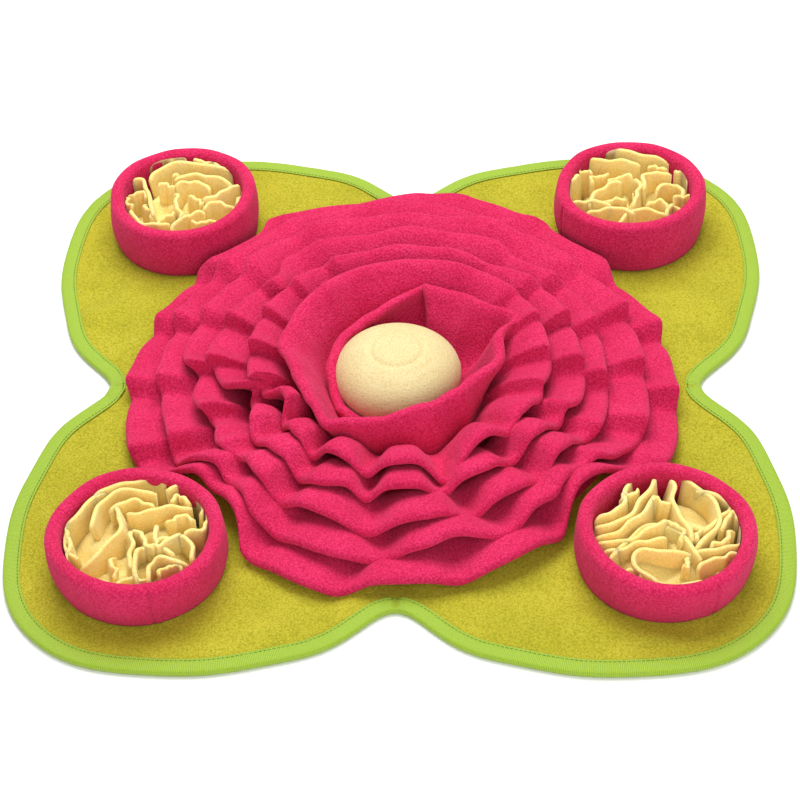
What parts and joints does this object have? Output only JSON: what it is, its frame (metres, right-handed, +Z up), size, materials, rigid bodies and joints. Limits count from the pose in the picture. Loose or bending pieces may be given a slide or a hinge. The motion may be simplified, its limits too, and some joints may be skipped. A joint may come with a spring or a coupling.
{
  "type": "snuffle mat",
  "caption": "Fleece snuffle mat: a lobed ground bound with ribbed tape, a spiral rose of folded cloth round a stuffed ball, and corner cups of cloth strips that hide dry food.",
  "frame": {"origin": "middle of the mat's outline on its underside, on the surface that it rests on", "axes": "+Z up, square to the mat; the notches between the leaves point along +X, -X, +Y and -Y, and the strip of the rose ends at the rear"},
  "size_m": [0.5996, 0.5996, 0.0657],
  "materials": {
    "ground_fleece": "matt brushed pile, olive lime",
    "binding_tape": "matt ribbed tape, bright lime",
    "petal_fleece": "matt brushed pile, hot pink",
    "ball_fleece": "matt brushed pile, cream yellow",
    "cup_fleece": "matt brushed pile, hot pink",
    "strip_fleece": "matt brushed pile, pale yellow"
  },
  "bodies": {
    "root": {"base_mat": "ground_fleece", "edge_binding": "binding_tape", "centre_ball": "ball_fleece", "petal_turn_1": "petal_fleece", "petal_turn_2": "petal_fleece", "petal_turn_3": "petal_fleece", "petal_turn_4": "petal_fleece", "petal_turn_5": "petal_fleece", "petal_turn_6": "petal_fleece", "petal_turn_7": "petal_fleece", "cup_rear_left": "cup_fleece", "cup_rear_right": "cup_fleece", "cup_front_left": "cup_fleece", "cup_front_right": "cup_fleece", "filler_rear_left": "strip_fleece", "filler_rear_right": "strip_fleece", "filler_front_left": "strip_fleece", "filler_front_right": "strip_fleece"}
  },
  "joints": []
}
